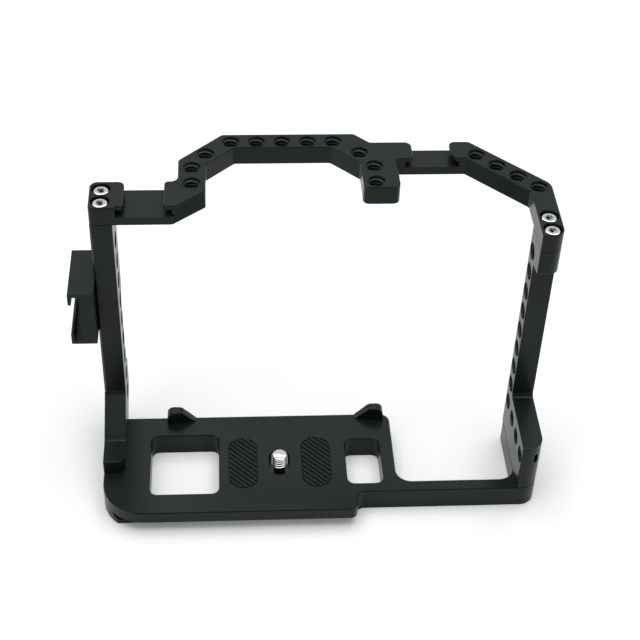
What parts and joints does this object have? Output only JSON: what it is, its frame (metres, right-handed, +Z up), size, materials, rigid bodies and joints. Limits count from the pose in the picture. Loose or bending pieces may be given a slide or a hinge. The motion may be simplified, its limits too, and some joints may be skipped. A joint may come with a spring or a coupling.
{
  "type": "camera cage",
  "caption": "Open frame that bolts round a camera body, with rows of threaded holes, cold shoes, a side rail, a dovetail base and a sliding captive screw.",
  "frame": {"origin": "the camera screw's axis on the seating plane, the base's top", "axes": "+X along the camera to the viewer's right, +Y towards the lens, +Z up"},
  "size_m": [0.1761, 0.093, 0.1164],
  "materials": {
    "anodised_aluminium": "satin black anodised",
    "stainless_steel": "turned, bright",
    "rubber": "matt, grooved",
    "nylon": "smooth black"
  },
  "bodies": {
    "cage": {"base_plate": "anodised_aluminium", "left_column": "anodised_aluminium", "right_column": "anodised_aluminium", "top_frame": "anodised_aluminium", "accessory_rail": "anodised_aluminium", "screw_retainer": "anodised_aluminium", "rail_screw": "stainless_steel", "rail_pin": "stainless_steel", "retainer_screw_1": "stainless_steel", "retainer_screw_2": "stainless_steel", "rubber_pad_1": "rubber", "rubber_pad_2": "rubber", "top_screw_1": "stainless_steel", "top_screw_2": "stainless_steel", "top_screw_3": "stainless_steel", "top_screw_4": "stainless_steel", "foot_screw_1": "stainless_steel", "foot_screw_2": "stainless_steel", "foot_screw_3": "stainless_steel", "foot_screw_4": "stainless_steel", "foot_dowel_1": "stainless_steel", "foot_dowel_2": "stainless_steel", "foot_dowel_3": "stainless_steel", "foot_dowel_4": "stainless_steel"},
    "screw_carriage": {"screw_washer": "nylon"},
    "camera_screw": {"camera_screw": "stainless_steel"}
  },
  "joints": [
    {"name": "screw_slide", "type": "slide", "parent": "cage", "child": "screw_carriage", "axis": [0, 1, 0], "range_m": [-0.0024, 0.0024]},
    {"name": "screw_turn", "type": "hinge", "parent": "screw_carriage", "child": "camera_screw", "pos_m": [0, 0, 0], "axis": [0, 0, 1], "continuous": true}
  ]
}
